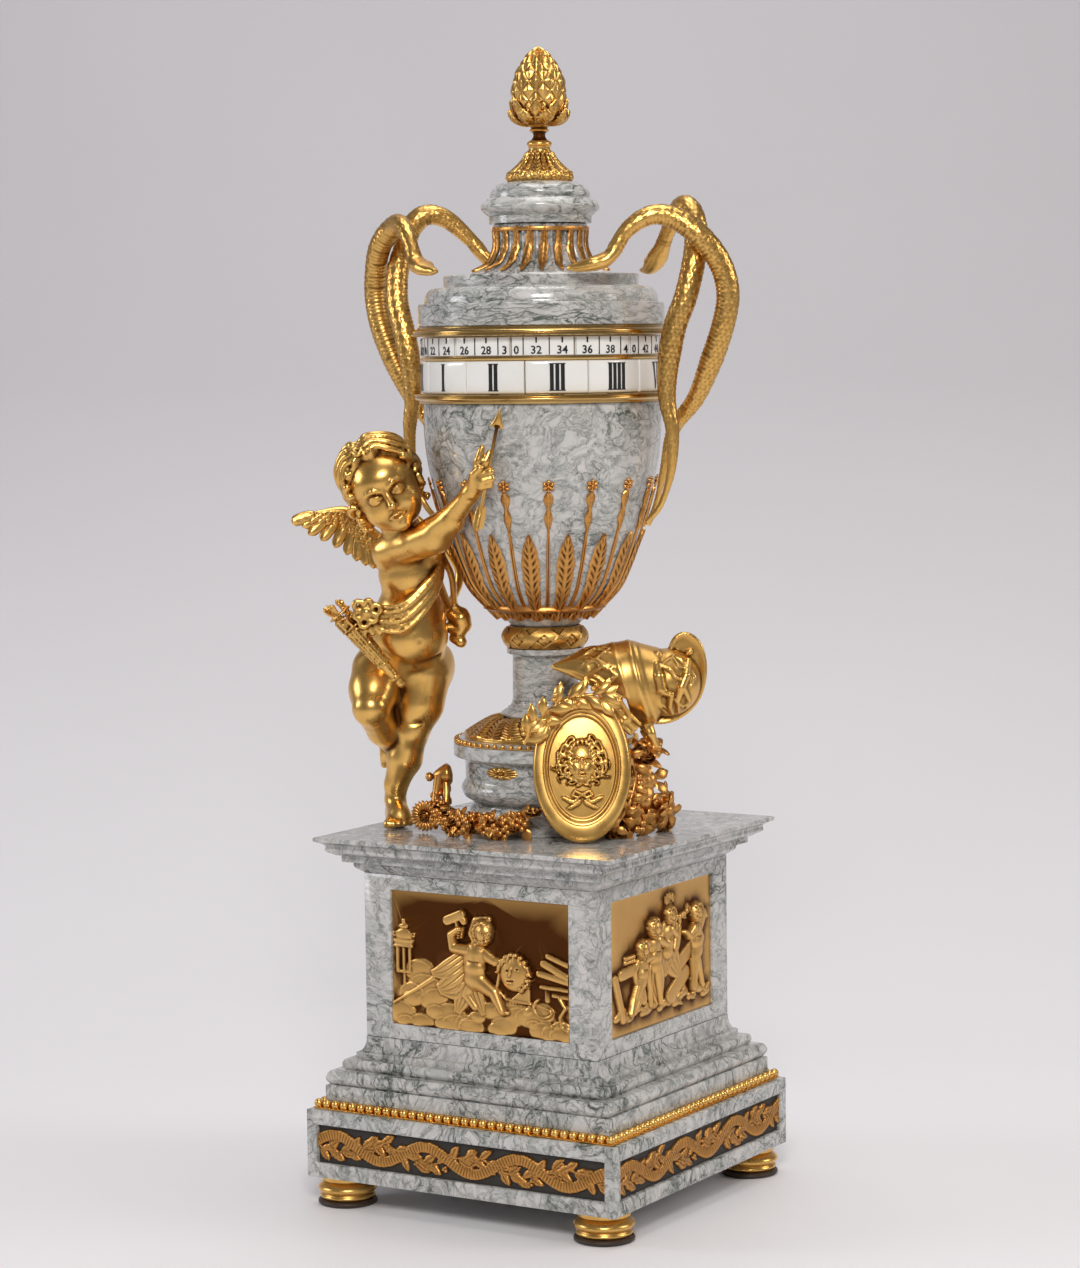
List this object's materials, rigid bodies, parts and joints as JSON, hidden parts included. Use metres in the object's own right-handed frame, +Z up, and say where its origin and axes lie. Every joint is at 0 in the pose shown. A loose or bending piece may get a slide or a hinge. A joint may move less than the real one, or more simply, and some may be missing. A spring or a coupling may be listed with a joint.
{
  "type": "vase clock",
  "caption": "Marble vase clock on a square plinth, with turning dial rings, snake handles, a winged child pointing an arrow at the time, and a trophy of arms",
  "frame": {"origin": "on the floor under the middle of the plinth", "axes": "+Z up; the plinth's main relief faces -Y; +X to the viewer's right of that face"},
  "size_m": [0.337, 0.28, 0.9],
  "materials": {
    "marble": "polished grey-white marble with dark grey-green veins",
    "satin_gilt": "gilt bronze, part satin and part burnished",
    "red_gilt": "gilt bronze of a redder tone, chased and slightly worn",
    "enamel": "glossy white enamel plaques with black numerals",
    "brass": "polished brass mouldings",
    "dark_pad": "dark stained wood"
  },
  "bodies": {
    "case": {"foot_front_left": "satin_gilt", "foot_front_right": "satin_gilt", "foot_back_right": "satin_gilt", "foot_back_left": "satin_gilt", "relief_front": "satin_gilt", "relief_right": "satin_gilt", "relief_back": "satin_gilt", "relief_left": "satin_gilt", "ribboned_collar": "satin_gilt", "finial_stem": "satin_gilt", "pine_cone": "satin_gilt", "snake_right_front": "satin_gilt", "snake_right_back": "satin_gilt", "snake_left_front": "satin_gilt", "snake_left_back": "satin_gilt", "cupid": "satin_gilt", "arrow_head": "satin_gilt", "arrow_tail": "satin_gilt", "shield": "satin_gilt", "helmet": "satin_gilt", "frieze_front": "red_gilt", "frieze_right": "red_gilt", "frieze_back": "red_gilt", "frieze_left": "red_gilt", "bead_border": "red_gilt", "drum_bead_ring": "red_gilt", "patera_1": "red_gilt", "patera_2": "red_gilt", "patera_3": "red_gilt", "patera_4": "red_gilt", "leaf_dome": "red_gilt", "leaf_crown": "red_gilt", "husk_crown": "red_gilt", "acanthus_collar": "red_gilt", "fruit_cluster": "red_gilt", "flower_garland": "red_gilt", "base_block": "marble", "plinth_steps": "marble", "plinth_die": "marble", "cornice": "marble", "pedestal_drum": "marble", "column": "marble", "urn_body": "marble", "shoulder": "marble", "lid_neck": "marble", "lid_cap": "marble", "lower_dial_ring": "brass", "dial_sleeve": "brass", "dial_divider": "brass", "upper_dial_ring": "brass", "foot_pad_front_left": "dark_pad", "foot_pad_front_right": "dark_pad", "foot_pad_back_right": "dark_pad", "foot_pad_back_left": "dark_pad"},
    "hour_ring": {"hour_ring": "enamel"},
    "minute_ring": {"minute_ring": "enamel"}
  },
  "joints": [
    {"name": "minute_turn", "type": "hinge", "parent": "case", "child": "minute_ring", "pos_m": [0, 0, 0.6688], "axis": [0, 0, -1], "continuous": true},
    {"name": "hour_turn", "type": "hinge", "parent": "case", "child": "hour_ring", "pos_m": [0, 0, 0.6453], "axis": [0, 0, -1], "continuous": true}
  ],
  "couplings": [
    {"joint": "hour_turn", "follows": "minute_turn", "ratio": 0.083333}
  ]
}
